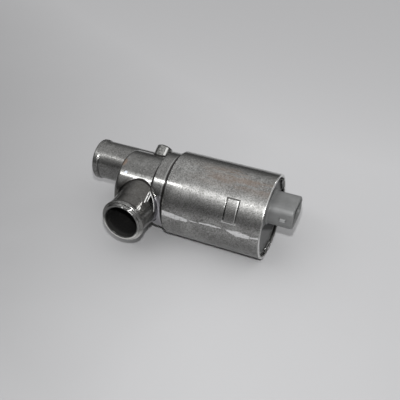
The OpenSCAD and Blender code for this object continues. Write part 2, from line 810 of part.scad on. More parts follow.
// One winding per pole: a rounded loop of wire around the neck
module armature_windings() {
    loop_w = pole_neck + 2 * winding_t;
    loop_l = armature_len + 2 * winding_end;
    foot = max(loop_w / 2 / tan(180 / poles), sqrt(pow(core_r, 2) - pow(pole_neck / 2, 2))) + 0.1;
    height = sqrt(pow(shoe_r, 2) - pow(loop_w / 2, 2)) - 0.1 - foot;
    mid_x = armature_x + armature_len / 2;
    color([0.6, 0.3, 0.12]) for (i = [0 : poles - 1]) rotate([i * 360 / poles, 0, 0])
        translate([mid_x, 0, foot]) linear_extrude(height = height) difference() {
            round_rect(loop_l, loop_w, winding_end);
            square([armature_len + 2 * seat_gap, pole_neck + 2 * seat_gap], center = true);
        }
}

module commutator_hub() {
    color([0.25, 0.12, 0.08]) {
        tube_x(commutator_r - 1.2, shaft_r + press_gap, armature_end_x + seat_gap,
            commutator_x + commutator_len);
    }
}

module commutator_segments() {
    color([0.72, 0.42, 0.2]) for (i = [0 : poles - 1])
        sector_x(commutator_r, commutator_r - 1.2 + press_gap, commutator_x + 0.3,
            commutator_x + commutator_len - 0.3, i * 360 / poles + 33, i * 360 / poles + 147);
}

housing();
stop_screw();
screw_plug();
end_cap();
end_cap_seal();
terminal(1);  // terminal_1
terminal(2);  // terminal_2
terminal(3);  // terminal_3
brush_plate();
brush(1);  // brush_1
brush(2);  // brush_2
brush(3);  // brush_3
brush_spring(1);  // brush_spring_1
brush_spring(2);  // brush_spring_2
brush_spring(3);  // brush_spring_3
flux_ring();
magnet(90);  // magnet_upper
magnet(-90);  // magnet_lower
magnet_clips();
bearing_outer_ring(front_bearing_d, front_bearing_x, front_bearing_w);  // front_bearing_outer_ring
bearing_inner_ring(front_bearing_d, front_bearing_x, front_bearing_w);  // front_bearing_inner_ring
bearing_balls(front_bearing_d, front_bearing_x, front_bearing_w, front_balls);  // front_bearing_balls
front_bearing_clip();
shaft_seal();
bearing_outer_ring(rear_bearing_d, rear_bearing_x, rear_bearing_w);  // rear_bearing_outer_ring
bearing_inner_ring(rear_bearing_d, rear_bearing_x, rear_bearing_w);  // rear_bearing_inner_ring
bearing_balls(rear_bearing_d, rear_bearing_x, rear_bearing_w, rear_balls);  // rear_bearing_balls
preload_washer();
shaft();
rotary_slide();
slide_clip();
spacer_sleeve();
armature_core();
armature_windings();
commutator_hub();
commutator_segments();
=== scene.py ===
"""Looks of the idle air control valve: blended casting, moulded cap, finishes, floor, lamps, camera."""
import functools
import json
import math

import bpy
import numpy as np
from mathutils import Matrix, Vector


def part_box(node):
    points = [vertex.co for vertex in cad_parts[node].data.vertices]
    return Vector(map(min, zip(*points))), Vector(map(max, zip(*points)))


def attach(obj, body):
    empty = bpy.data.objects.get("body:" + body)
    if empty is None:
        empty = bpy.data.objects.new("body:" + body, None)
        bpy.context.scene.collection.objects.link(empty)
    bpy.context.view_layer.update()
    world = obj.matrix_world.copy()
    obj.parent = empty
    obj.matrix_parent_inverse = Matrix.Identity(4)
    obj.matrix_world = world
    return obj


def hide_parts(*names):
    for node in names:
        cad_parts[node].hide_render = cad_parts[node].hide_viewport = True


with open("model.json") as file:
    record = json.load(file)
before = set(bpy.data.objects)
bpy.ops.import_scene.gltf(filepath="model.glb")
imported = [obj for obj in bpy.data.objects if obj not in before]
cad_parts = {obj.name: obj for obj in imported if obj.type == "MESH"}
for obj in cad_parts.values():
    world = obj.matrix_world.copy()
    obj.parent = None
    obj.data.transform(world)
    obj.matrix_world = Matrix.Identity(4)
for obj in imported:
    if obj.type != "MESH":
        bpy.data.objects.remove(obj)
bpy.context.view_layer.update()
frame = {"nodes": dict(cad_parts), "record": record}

MM = 0.001
SLICES = 24
SETTLE_REACH = 0.25
HOLLOW_DEPTH = 0.9
EDGE_DEPTH = 0.5

# Camera, fitted to the photograph (angles in degrees, lengths in millimetres)
CAMERA_TURN = 21.49
CAMERA_RISE = 34.41
CAMERA_ROLL = 2.52
CAMERA_REACH = 306.61
CAMERA_TARGET = (-13.97, 0.0, -1.57)
FOCAL_PIXELS = 571.96
FRAME_PIXELS = 400
SENSOR = 36.0
FLOOR_Z = -22.5
FLOOR_HALF = 3000.0
FLOOR_TONE = (0.985, 0.985, 1.0)

# Lamps
FLASH_ABOVE_LENS = 32.0
FLASH_WIDTH = 10
FLASH_POWER = 0.58
KEY_SPOT = (-500.0, -955.0, 1186.0)
KEY_LENGTH = 1300
KEY_WIDTH = 90
KEY_POWER = 3.0
BACK_SPOT = (760.0, 1120.0, 720.0)
BACK_WIDTH = 150
BACK_POWER = 0.9
WORLD_LOW = 0.10
WORLD_HIGH = 0.80
WORLD_SEEN = 0.55

# Sizes of the casting, as in the solids
BARREL_R = 22.5
BARREL_END = 26.5
NECK_R = 20.5
NECK_END = -34.5
CHAMBER_R = 18.1
CHAMBER_Y = -2.3
CHAMBER_END = -55.6
TUBE_R = 10.9
BEAD_R = 11.5
BORE_R = 8.65
PORT_X = -40.9
PORT_SHIFT = 12.7
BOSS_X = -40.4
BOSS_R = 4.5
BOSS_REACH = 19.0
BOSS_SHIFT = 8.8
BOSS_SLOPE = 30.0
TAB_STEP = 60.0
STAMP_X = (6.5, 13.4)
STAMP_TURN = (13.0, 46.0)

# Sizes of the cap and its connector
CAP_R = 20.85
SHROUD_Z = 6.3
SHROUD_END = 38.7
SOCKET_FLOOR = 29.0
BLADES = (-5.0, 0.0, 5.0)
BLADE_HALF = 1.25

# Marks, measured in the photograph and given in the casting's own millimetres and angles
# Glue left by a label: from and to along the barrel, lower edge at both, upper edge at both
GLUE_PATCHES = (
    (-25.8, -18.5, -0.4, -2.4, 6.8, 4.9),
    (-18.5, -11.6, -2.4, -1.3, 4.9, 2.8),
    (-11.3, -6.0, 1.8, 1.0, 3.3, 2.0),
    (-5.2, 1.5, 1.9, 2.2, 4.0, 4.9),
    (1.5, 6.4, 2.2, 3.0, 4.9, 4.4),
    (9.0, 14.0, 3.0, -1.6, 4.0, 5.5),
    (14.0, 21.2, -2.2, -1.2, 5.6, 4.5),
    (21.7, 25.9, 0.8, 1.6, 2.6, 4.4),
)
# Glints on the radial port: from and to along it, angle at both, half width
GLINTS = (
    (20.3, 27.0, 54.0, 45.5, 1.6),
    (19.9, 25.2, 48.5, 42.0, 1.4),
    (31.2, 33.6, 44.0, 43.0, 1.5),
)


# ---------------------------------------------------------------- forms as fields of distances

def bar(r, h, radius, low, high, edge):
    """Round bar: with a = |h - m| - l/2 + e and b = r - R + e, d = min(max(a, b), 0) + |(a+, b+)| - e."""
    a = np.abs(h - (high + low) / 2) - (high - low) / 2 + edge
    b = r - radius + edge
    return np.minimum(np.maximum(a, b), 0) + np.hypot(np.maximum(a, 0), np.maximum(b, 0)) - edge


def join(a, b, k):
    """Both forms with a fillet of about k between them: min(a, b) - max(k - |a - b|, 0)^2 / 4k."""
    return np.minimum(a, b) - np.maximum(k - np.abs(a - b), 0) ** 2 / (4 * k)


def carve(a, b, k):
    """Form a without form b, its new edges rounded by about k: -join(-a, b, k)."""
    return -join(-a, b, k)


def meet(*forms):
    """What all the forms share: the largest of their distances."""
    return functools.reduce(np.maximum, forms)


def slab(v, low, high):
    """Distance from the span between two places: |v - m| - l/2."""
    return np.abs(v - (low + high) / 2) - (high - low) / 2


def wedge(r, turn, low, high):
    """Distance from the wedge between two angles: r * (|turn - m| - w/2) in radians."""
    return r * np.radians(slab(turn, low, high))


def round_box(u, v, width, height, corner):
    """Rounded rectangle: |(max(|u| - w/2 + c, 0), max(|v| - h/2 + c, 0))| - c, and the box inside."""
    a = np.abs(u) - width / 2 + corner
    b = np.abs(v) - height / 2 + corner
    return np.hypot(np.maximum(a, 0), np.maximum(b, 0)) + np.minimum(np.maximum(a, b), 0) - corner


def prism(flat, h, low, high, edge):
    """A flat form drawn out from low to high with round end edges."""
    a = slab(h, low, high) + edge
    b = flat + edge
    return np.minimum(np.maximum(a, b), 0) + np.hypot(np.maximum(a, 0), np.maximum(b, 0)) - edge


def casting_outside(x, y, z):
    """Barrel, neck, chamber, both hose ports and the stop boss, blended as a die casting is."""
    r = np.hypot(y, z)
    turn = np.degrees(np.arctan2(z, -y))
    r_port = np.hypot(x - PORT_X, z)
    r_axial = np.hypot(y - PORT_SHIFT, z)
    reach = -y
    barrel = bar(r, x, BARREL_R, -BARREL_END, BARREL_END, 0.5)
    body = join(barrel, bar(r, x, NECK_R, NECK_END, 0, 0.7), 0.3)
    body = join(body, bar(np.hypot(y - CHAMBER_Y, z), x, CHAMBER_R, CHAMBER_END, -28.0, 2.3), 0.4)
    tube = join(bar(r_axial, x, TUBE_R, -81.7, -36.0, 3.0), bar(r_axial, x, BEAD_R, -81.9, -78.5, 0.9), 0.5)
    body = join(body, tube, 1.6)
    cone = np.interp(reach, [13.0, 16.6, 27.2, 40.0], [12.7, 12.2, TUBE_R, TUBE_R])
    port = meet((r_port - cone) * 0.99, reach - 36.6, 8 - reach)
    port = join(port, bar(r_port, reach, BEAD_R, 34.2, 36.7, 0.9), 0.5)
    port = join(port, bar(r_port, reach, 10.3, 30.0, 37.8, 0.55), 0.4)
    body = join(body, port, 0.6)
    along, off = boss_place(x, y, z)
    body = join(body, bar(off, along, BOSS_R, 0.0, BOSS_REACH, 0.7), 0.35)
    stamp = meet(slab(x, *STAMP_X), wedge(r, turn, *STAMP_TURN), BARREL_R - 0.2 - r)
    return carve(body, stamp, 0.12)


def boss_place(x, y, z):
    """Height along the stop boss's axis, and distance from that axis."""
    c, s = math.cos(math.radians(BOSS_SLOPE)), math.sin(math.radians(BOSS_SLOPE))
    return y * c + z * s, np.hypot(x - BOSS_X, z * c - y * s - BOSS_SHIFT)


def casting_hollows(x, y, z):
    """Cap seat, motor space, bearing and seal seats, air chamber, port bores, window, screw hole."""
    r = np.hypot(y, z)
    turn = np.degrees(np.arctan2(z, -y))
    r_port = np.hypot(x - PORT_X, z)
    r_axial = np.hypot(y - PORT_SHIFT, z)
    reach = -y
    motor = np.maximum(bar(r, x, 20.2, -24.0, 40.0, 0.4), -bar(r, x, 10.2, -40.0, -20.35, 0.3))
    hollow = np.minimum(motor, bar(r, x, 20.9, 22.5, 40.0, 0.1))
    seats = ((8.0, -27.0, 0.0), (8.6, -21.95, -20.85), (4.59, -35.0, -20.0), (5.0, -35.0, -27.55))
    for radius, low, high in seats:
        hollow = np.minimum(hollow, bar(r, x, radius, low, high, 0.05))
    air = join(bar(r, x, 14.0, -52.5, -30.0, 0.5), bar(r_axial, x, 8.25, -60.0, -39.5, 1.0), 0.6)
    stop = meet(slab(r, 12.4, 14.5), wedge(r, turn, -37.7, -31.7), slab(x, PORT_X - 3.5, PORT_X + 3.5))
    hollow = np.minimum(hollow, np.maximum(air, -stop))
    hollow = np.minimum(hollow, bar(r_axial, x, BORE_R, -100.0, -55.0, 0.2))
    hollow = np.minimum(hollow, bar(r_port, reach, BORE_R, 16.8, 60.0, 0.5))
    window = round_box(x - PORT_X, z, 11.0, 8.66, 1.2)
    hollow = np.minimum(hollow, np.maximum(window, slab(reach, 10.0, 18.0)))
    along, off = boss_place(x, y, z)
    hollow = np.minimum(hollow, bar(off, along, 2.05, 0.0, 30.0, 0.1))
    return np.minimum(hollow, bar(off, along, 2.85, 16.6, 30.0, 0.1))


def casting(x, y, z):
    """The whole casting, with the staked tabs of its rim and the slits beside them."""
    body = carve(casting_outside(x, y, z), casting_hollows(x, y, z), 0.55)
    r = np.hypot(y, z)
    off = np.mod(np.degrees(np.arctan2(z, -y)), TAB_STEP) - TAB_STEP / 2
    along = r * np.radians(np.abs(off))
    tab = meet(slab(r, 18.9, 21.4), along - 3.8, slab(x, 24.75, 25.85))
    slit = meet(slab(along, 4.0, 5.0), r - 21.5, 24.9 - x)
    return carve(join(body, tab, 0.4), slit, 0.2)


def moulded_cap(x, y, z):
    """End cap: disc, skirt, bearing boss, and the connector shroud with its socket and rib."""
    r = np.hypot(y, z)
    v = z - SHROUD_Z
    disc = bar(r, x, CAP_R, 22.5, 24.7, 0.35)
    skirt = meet(r - 20.15, 17.2 - r, slab(x, 15.45, 23.0), -meet(18.3 - r, slab(x, 19.55, 21.75)))
    boss = meet(bar(r, x, 8.5, 18.15, 23.0, 0.2), -bar(r, x, 6.55, 10.0, 22.8, 0.1))
    cap = np.minimum(join(disc, skirt, 0.3), boss)
    for a in range(0, 180, 60):
        c, s = math.cos(math.radians(a)), math.sin(math.radians(a))
        spoke = meet(np.abs(y * c + z * s) - 0.6, slab(r, 7.5, 18.2), slab(x, 16.45, 22.6))
        cap = np.minimum(cap, spoke)
    collar = prism(round_box(y, v, 20.2, 14.2, 5.3), x, 22.7, 25.7, 0.5)
    shroud = prism(round_box(y, v, 18.6, 12.6, 4.5), x, 22.7, SHROUD_END, 1.0)
    cap = join(join(cap, collar, 0.5), shroud, 0.6)
    latch = meet(slab(x, 32.1, 35.1), slab(y, -10.1, -8.7), slab(v, -0.9, 0.8))
    cap = join(cap, latch, 0.4)
    socket = prism(round_box(y, v, 15.8, 9.8, 3.1), x, SOCKET_FLOOR, 60.0, 0.2)
    cap = carve(cap, socket, 0.35)
    for blade in BLADES:
        strip = np.abs(y - blade) - BLADE_HALF
        lead = meet(slab(z, 9.6, 11.4), slab(x, 10.0, 27.6))
        riser = meet(slab(z, 5.85, 11.4), slab(x, 26.8, 27.75))
        foot = meet(slab(z, 5.85, 6.75), slab(x, 26.8, 31.0))
        cap = np.maximum(cap, -meet(strip, np.minimum(lead, np.minimum(riser, foot))))
    return cap


# ---------------------------------------------------------------- from fields to meshes

def stations(*spans):
    """Grid lines: for each span (low, high, step) evenly spaced ones, without its last."""
    lines = [np.linspace(a, b, max(2, round((b - a) / step)), endpoint=False)
             for a, b, step in spans]
    return np.concatenate(lines + [[spans[-1][1]]])


def surface(field, axes):
    """Quads around the field's zero: one vertex per crossed cell, at the mean of its edges' crossings."""
    values = np.empty([len(a) for a in axes], np.float32)
    y, z = np.meshgrid(axes[1], axes[2], indexing="ij")
    for i in range(0, len(axes[0]), SLICES):
        x = axes[0][i:i + SLICES, None, None]
        values[i:i + SLICES] = field(x + 0 * y, y + 0 * x, z + 0 * x)
    shape = tuple(n - 1 for n in values.shape)
    total = np.zeros(shape + (3,), np.float32)
    count = np.zeros(shape, np.int16)
    edges = []
    for axis in range(3):
        u, v = (axis + 1) % 3, (axis + 2) % 3
        near = values.take(range(shape[axis]), axis)
        far = values.take(range(1, shape[axis] + 1), axis)
        crossed = (near < 0) != (far < 0)
        part = np.where(crossed, near / np.where(crossed, near - far, 1), 0)
        for du in (0, 1):
            for dv in (0, 1):
                cut = [slice(None)] * 3
                cut[u], cut[v] = slice(du, shape[u] + du), slice(dv, shape[v] + dv)
                count += crossed[tuple(cut)]
                total[..., axis] += part[tuple(cut)]
                total[..., u] += crossed[tuple(cut)] * du
                total[..., v] += crossed[tuple(cut)] * dv
        edges.append((axis, u, v, np.argwhere(crossed), near))
    used = count > 0
    index = np.full(shape, -1)
    index[used] = np.arange(used.sum())
    spots = np.argwhere(used) + total[used] / count[used][:, None]
    points = np.stack([np.interp(spots[:, k], np.arange(len(axes[k])), axes[k]) for k in range(3)], -1)
    quads = []
    for axis, u, v, cells, near in edges:
        ring = [cells + np.eye(3, dtype=int)[u] * a + np.eye(3, dtype=int)[v] * b
                for a, b in ((-1, -1), (0, -1), (0, 0), (-1, 0))]
        quad = np.stack([index[tuple(c.T)] for c in ring], -1)
        outward = near[tuple(cells.T)] >= 0
        quad[outward] = quad[outward, ::-1]
        quads.append(quad)
    return points, np.concatenate(quads)


def slope(field, points, e=0.03):
    """Gradient by central differences: (f(p + e) - f(p - e)) / 2e along each axis."""
    x, y, z = points.T
    return np.stack([field(x + e, y, z) - field(x - e, y, z), field(x, y + e, z) - field(x, y - e, z),
                     field(x, y, z + e) - field(x, y, z - e)], -1) / (2 * e)


def settle(field, points, reach):
    """Newton's steps onto the zero: p - f(p) g / |g|^2, none longer than reach."""
    for _ in range(3):
        g = slope(field, points)
        step = (field(*points.T) / np.maximum((g * g).sum(-1), 0.25))[:, None] * g
        length = np.linalg.norm(step, axis=1)
        points = points - step * np.minimum(1, reach / np.maximum(length, 1e-9))[:, None]
    g = slope(field, points)
    return points, g / np.maximum(np.linalg.norm(g, axis=1), 1e-6)[:, None]


def form(name, field, axes, node, material, body):
    """A piece made from a field: it stands for one CAD node and stays inside that node's box."""
    points, quads = surface(field, axes)
    points, normals = settle(field, points, SETTLE_REACH)
    low, high = (np.array(corner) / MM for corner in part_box(node))
    points = np.clip(points, low, high)
    mesh = bpy.data.meshes.new(name)
    mesh.vertices.add(len(points))
    mesh.vertices.foreach_set("co", (points * MM).astype(np.float32).ravel())
    mesh.loops.add(quads.size)
    mesh.loops.foreach_set("vertex_index", quads.astype(np.int32).ravel())
    mesh.polygons.add(len(quads))
    mesh.polygons.foreach_set("loop_start", np.arange(0, quads.size, 4, dtype=np.int32))
    mesh.update(calc_edges=True)
    mesh.validate()
    mesh.polygons.foreach_set("use_smooth", np.ones(len(mesh.polygons), bool))
    mesh.normals_split_custom_set_from_vertices(normals)
    for word, sign, depth in (("hollow", 1.0, HOLLOW_DEPTH), ("edge", -1.0, EDGE_DEPTH)):
        away = field(*(points + sign * depth * normals).T) * sign / depth
        layer = mesh.attributes.new(word, "FLOAT", "POINT")
        layer.data.foreach_set("value", np.clip(1 - away, 0, 1).astype(np.float32))
    mesh.materials.append(material)
    piece = bpy.data.objects.new(name, mesh)
    bpy.context.scene.collection.objects.link(piece)
    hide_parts(node)
    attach(piece, body)
    return piece


# ---------------------------------------------------------------- finishes

class Sockets:
    """One material's nodes: any node is made by make(), and channels are wrapped in Value."""

    def __init__(self, name, tree=None):
        if tree is None:
            self.material = bpy.data.materials.new(name)
            self.material.use_nodes = True
            tree = self.material.node_tree
        self.tree = tree
        self.tree.nodes.clear()

    def make(self, kind, settings=None, output=0, **inputs):
        """Adds a node of one type, sets its settings first, then its sockets' values or links."""
        node = self.tree.nodes.new(kind)
        for key, value in (settings or {}).items():
            setattr(node, key, value)
        for key, value in inputs.items():
            by_index = key[0] == "i" and key[1:].isdigit()
            self.feed(node.inputs[int(key[1:]) if by_index else key.replace("_", " ")], value)
        return Value(self, node.outputs[output]) if node.outputs else node

    def feed(self, socket, value):
        """Links a Value to a socket, or sets a plain number or colour on it."""
        if isinstance(value, Value):
            self.tree.links.new(value.socket, socket)
        elif hasattr(value, "__len__") and len(value) == 3 and len(socket.default_value) == 4:
            socket.default_value = (*value, 1.0)
        else:
            socket.default_value = value

    def noise(self, spot, scale, detail=3.0, rough=0.55, warp=0.0):
        return self.make("ShaderNodeTexNoise", Vector=spot, Scale=scale, Detail=detail, Roughness=rough,
                         Distortion=warp)

    def mix(self, factor, a, b):
        """A colour between a and b."""
        return self.make("ShaderNodeMix", {"data_type": "RGBA"}, output=2, i0=factor, i6=a, i7=b)

    def attribute(self, name):
        return self.make("ShaderNodeAttribute", {"attribute_name": name}, output=2)

    def place(self):
        """Object coordinates in millimetres: the vector and its three channels."""
        spot = self.make("ShaderNodeTexCoord", output=3)
        grown = self.make("ShaderNodeVectorMath", {"operation": "SCALE"}, i0=spot, Scale=1000.0)
        node = self.make("ShaderNodeSeparateXYZ", i0=grown).socket.node
        return grown, [Value(self, node.outputs[k]) for k in range(3)]

    def stretch(self, spot, x, y, z):
        """The same place with its axes scaled, for marks that are longer one way."""
        return self.make("ShaderNodeVectorMath", {"operation": "MULTIPLY"}, i0=spot, i1=(x, y, z))

    def bump(self, height, strength, distance):
        return self.make("ShaderNodeBump", Strength=strength, Distance=distance * MM, Height=height)

    def finish(self, **inputs):
        """The Principled shader and the output; returns the material."""
        shader = self.make("ShaderNodeBsdfPrincipled", **inputs)
        self.make("ShaderNodeOutputMaterial", Surface=shader)
        return self.material


class Value:
    """A socket that can be used in plain arithmetic."""

    def __init__(self, owner, socket):
        self.owner = owner
        self.socket = socket

    def math(self, operation, *numbers):
        return self.owner.make("ShaderNodeMath", {"operation": operation},
                               **{f"i{k}": number for k, number in enumerate(numbers)})

    def __add__(self, other): return self.math("ADD", self, other)
    def __radd__(self, other): return self.math("ADD", other, self)
    def __sub__(self, other): return self.math("SUBTRACT", self, other)
    def __rsub__(self, other): return self.math("SUBTRACT", other, self)
    def __mul__(self, other): return self.math("MULTIPLY", self, other)
    def __rmul__(self, other): return self.math("MULTIPLY", other, self)
    def __truediv__(self, other): return self.math("DIVIDE", self, other)
    def __rtruediv__(self, other): return self.math("DIVIDE", other, self)
    def absolute(self): return self.math("ABSOLUTE", self)
    def root(self): return self.math("SQRT", self)
    def low(self, other): return self.math("MINIMUM", self, other)
    def high(self, other): return self.math("MAXIMUM", self, other)
    def angle(self, other): return self.math("ARCTAN2", self, other) * (180 / math.pi)

    def step(self, low, high):
        """0 below low, 1 above high, smooth between; low may be above high."""
        if low > high:
            return 1.0 - self.step(high, low)
        return self.owner.make("ShaderNodeMapRange", {"interpolation_type": "SMOOTHSTEP"},
                               i0=self, i1=low, i2=high, i3=0.0, i4=1.0)

    def span(self, low, high, soft):
        """1 between low and high, 0 outside, over a soft edge."""
        return self.step(low - soft, low + soft) * self.step(high + soft, high - soft)


class CastLook(Sockets):
    """Weathered die casting, with painted light and shade. Each method lays marks over the tone that the
    ones before it left.
    """

    def __init__(self):
        super().__init__("cast_aluminium")
        self.spot, (x, y, z) = self.place()
        self.x, self.y, self.z = x, y, z
        self.hollow, self.edge = self.attribute("hollow"), self.attribute("edge")
        self.cloud = self.noise(self.spot, 0.10, 4.0, 0.6, 0.8)
        self.blotch = self.noise(self.spot, 0.32, 5.0, 0.68, 0.4)
        self.grain = self.noise(self.spot, 0.85, 5.0, 0.78)
        self.speck = self.noise(self.spot, 1.9, 3.0, 0.7)
        self.radius = (y * y + z * z).root()
        self.turn = z.angle(0.0 - y)
        self.reach = 0.0 - y
        self.port = ((x - PORT_X) * (x - PORT_X) + z * z).root()
        self.port_turn = z.angle(x - PORT_X)
        self.on_barrel = x.step(-27.2, -26.6) * self.radius.step(21.6, 22.1)
        self.on_port = self.reach.step(14.0, 17.0) * self.port.step(14.5, 13.2)
        self.fore = x.step(-27.0, -28.5)
        self.front = self.reach.step(6.0, 9.0)
        self.seam = (54.0 - self.port_turn) * 0.09 + 19.6
        neck = x.step(-34.7, -34.3)
        from_chamber = ((y - CHAMBER_Y) * (y - CHAMBER_Y) + z * z).root() - CHAMBER_R
        self.above = from_chamber * (1.0 - neck) + (self.radius - NECK_R) * neck

    def lay(self, factor, colour):
        """Turns the tone into another colour where the factor is high."""
        self.tone = self.mix(factor, self.tone, colour)

    def near(self, along, turn, squeeze):
        """Squared distance from a place on the chamber: (x - a)^2 + q (turn - t)^2."""
        side, up = self.x - along, self.turn - turn
        return side * side + up * up * squeeze

    def mottle(self):
        """Cloudy mid grey with darker blotches, light specks and dark pits."""
        self.tone = self.mix(self.cloud.step(0.35, 0.65), (0.27, 0.268, 0.262), (0.37, 0.368, 0.36))
        self.lay(self.grain.step(0.47, 0.64) * 0.65, (0.15, 0.148, 0.143))
        self.lay(self.blotch.step(0.50, 0.70) * 0.5, (0.16, 0.158, 0.152))
        self.lay(self.speck.step(0.54, 0.66) * 0.5, (0.64, 0.64, 0.62))
        self.lay(self.speck.step(0.46, 0.36) * 0.7, (0.06, 0.06, 0.055))

    def shade(self):
        """Darker chamber, neck, radial port and lower barrel, with painted shade in a band under the
        highlight and in the groove behind the axial bead; pale lower lip and pale flank as painted
        reflections of the floor; a painted highlight streak.
        """
        x, turn, reach, port = self.x, self.turn, self.reach, self.port
        # The flank of the neck and the side beside the port: the pale violet there is a painted reflection
        # of the floor.
        flank = x.span(-34.4, -28.9, 0.3) * turn.span(-40.0, 13.0, 6.0)
        beside_port = self.port_turn.span(-40.0, 34.0, 6.0) * (self.seam - reach).step(0.0, 0.3)
        self.flank = flank.high(beside_port * self.front)
        bead = (reach.step(33.6, 34.2) * port.step(13.0, 12.5)).high(x.step(-78.2, -78.8))
        # Darker chamber and neck; the band from 12 to 34 degrees, under the highlight, is painted shade.
        darker_and_shade_band = self.fore * (0.32 - 0.14 * x.step(-35.2, -34.6))
        self.lay(darker_and_shade_band.high(turn.span(12.0, 34.0, 4.0) * 0.2), (0.05, 0.05, 0.048))
        self.lay(self.on_port * (1.0 - bead) * (1.0 - self.flank) * 0.50, (0.075, 0.068, 0.060))
        self.lay(turn.step(2.0, -16.0) * x.step(-10.0, 10.0) * 0.35, (0.08, 0.08, 0.078))
        # Painted shade in the groove behind the axial port's bead.
        groove = x.span(-78.4, -77.9, 0.12) * self.z.angle(PORT_SHIFT - self.y).span(-75.0, 30.0, 12.0)
        self.lay(groove * 0.85, (0.02, 0.02, 0.02))
        # Painted reflection of the floor: the pale lower lip of the radial port's mouth.
        self.lip = reach.step(34.3, 35.2) * port.step(12.5, 12.0) * self.port_turn.span(-172.0, -22.0, 18.0)
        self.lay(self.lip * 0.8, (0.56, 0.555, 0.53))
        # Painted highlight: a pale streak along the chamber and neck at the highlight's angle.
        highlight_streak = turn.span(40.0, 47.0, 2.0) * self.fore * x.step(-55.0, -53.0) * (1.0 - self.on_port)
        self.lay(highlight_streak * self.grain.step(0.62, 0.45) * 0.6, (0.68, 0.68, 0.66))
        self.lay(self.flank * self.fore * reach.step(24.0, 23.0) * 0.6, (0.56, 0.55, 0.60))

    def brown_reflection_and_rust(self):
        """A painted brown reflection in streaks along the top of the barrel, and one rusty spot on the
        chamber.
        """
        # Painted reflection: brown streaks along the top of the barrel.
        reflection_streaks = self.noise(self.stretch(self.spot, 0.22, 1.0, 1.0), 0.2, 4.0) + self.grain * 0.25
        brown = self.turn.span(60.0, 92.0, 9.0) * self.x.step(-24.0, 8.0)
        brown = brown * reflection_streaks.step(0.55, 0.72) * self.on_barrel
        # A rust stain on the chamber.
        rust = self.near(-54.2, 61.0, 0.06).step(5.0, 0.8)
        self.lay((brown * 0.55).high(rust * 0.8), (0.30, 0.22, 0.17))

    def label_glue(self):
        """Torn line of glue: the patches, each between a lower and an upper edge, with ragged borders."""
        torn = self.turn + (self.noise(self.spot, 0.55, 4.0, 0.7) - 0.5) * 3.6
        glue = 0.0 * self.x
        for start, end, low0, low1, high0, high1 in GLUE_PATCHES:
            lower = (self.x - start) * ((low1 - low0) / (end - start)) + low0
            upper = (self.x - start) * ((high1 - high0) / (end - start)) + high0
            height = (torn - lower).step(-0.4, 0.4) * (upper - torn).step(-0.4, 0.4)
            glue = glue.high(self.x.span(start, end, 0.25) * height)
        self.glue = glue * self.on_barrel * self.grain.step(0.68, 0.54)
        self.lay(self.glue * 0.85, (0.50, 0.50, 0.505))

    def grime_shade_wear_and_highlights(self):
        """Hollows darkened with grime and painted shade; edges lightened with wear and painted highlight; a
        painted highlight along the end of the rim.
        """
        x = self.x
        patchy = 0.5 + 0.5 * self.blotch.step(0.35, 0.6)
        # Painted shade and grime in the hollows, less of it inside the rim.
        self.shade_and_grime = self.hollow.step(0.25, 0.8) * patchy * (1.0 - x.step(24.6, 24.9) * 0.85)
        self.lay(self.shade_and_grime * 0.9, (0.03, 0.028, 0.026))
        # Edges lightened: wear and painted highlight; the end of the rim is a painted highlight.
        edges = self.edge.step(0.25, 0.7) * self.blotch.step(0.30, 0.46)
        rubbed_and_lit = (edges * x.step(-26.4, -26.1)).high(edges * x.step(-28.6, -28.9))
        rubbed_and_lit = rubbed_and_lit.high(x.span(-28.8, -28.4, 0.1) * self.radius.step(20.2, 20.4) * 0.35)
        rim = x.step(25.9, 26.1) * self.radius.step(21.3, 21.6)
        rubbed_and_lit = (rubbed_and_lit * x.step(25.9, 25.6)).high(rim * (1.0 - self.turn.span(2.0, 38.0, 5.0) * 0.6))
        self.lay(rubbed_and_lit * 0.8, (0.80, 0.80, 0.79))

    def step_shade_and_crease_highlight(self):
        """Painted shade as dark lines in the steps and at the roots of port and boss, and a painted
        highlight on the crease above the port.
        """
        x, reach, above = self.x, self.reach, self.above
        cone = reach * -0.125 + 14.3
        off_cone = self.port - cone
        root = off_cone.absolute().step(0.8, 0.4) * above.step(0.6, 0.3)
        root = root * (1.0 - self.port_turn.span(-30.0, 48.0, 6.0)) * self.front
        self.along, self.off = boss_place_sockets(x, self.y, self.z)
        base = self.off.span(3.9, 5.1, 0.15) * above.step(0.7, 0.4) * x.step(-47.0, -46.0)
        neck_line = x.span(-35.25, -34.6, 0.08) * self.radius.step(20.4, 20.2)
        neck_line = neck_line * self.y.step(15.0, 10.0) * reach.step(20.9, 20.4)
        barrel_line = x.span(-28.0, -26.05, 0.12)
        # Painted shade: dark lines in the steps and at the roots of port and boss.
        self.lay(neck_line.high(barrel_line).high(root.high(base) * self.fore) * 0.92, (0.02, 0.019, 0.018))
        # Painted highlight on the crease above the port.
        crease = off_cone.span(0.5, 0.9, 0.15) * above.step(0.6, 0.4)
        crease = crease * self.z.step(2.0, 5.0) * x.step(-52.0, -42.0) * self.front
        self.lay(crease * self.blotch.step(0.30, 0.5) * 0.45, (0.70, 0.70, 0.68))

    def boss(self):
        """The stop boss: speckled side, painted shade at its end, one painted highlight streak along it."""
        along, grain = self.along, self.grain
        stub = self.above.step(0.5, 0.9) * self.off.step(4.7, 4.55) * along.step(10.0, 11.0)
        self.lay(stub * 0.5, self.mix(grain.step(0.42, 0.55), (0.62, 0.62, 0.60), (0.16, 0.16, 0.155)))
        # Painted shade at the boss's end.
        self.lay(stub * along.step(18.0, 18.5) * 0.9, (0.04, 0.04, 0.038))
        # A painted highlight streak along the boss.
        streak = (self.x - BOSS_X).span(2.2, 3.1, 0.2) * along.step(18.2, 17.8)
        self.lay(stub * streak, (0.95, 0.95, 0.93))

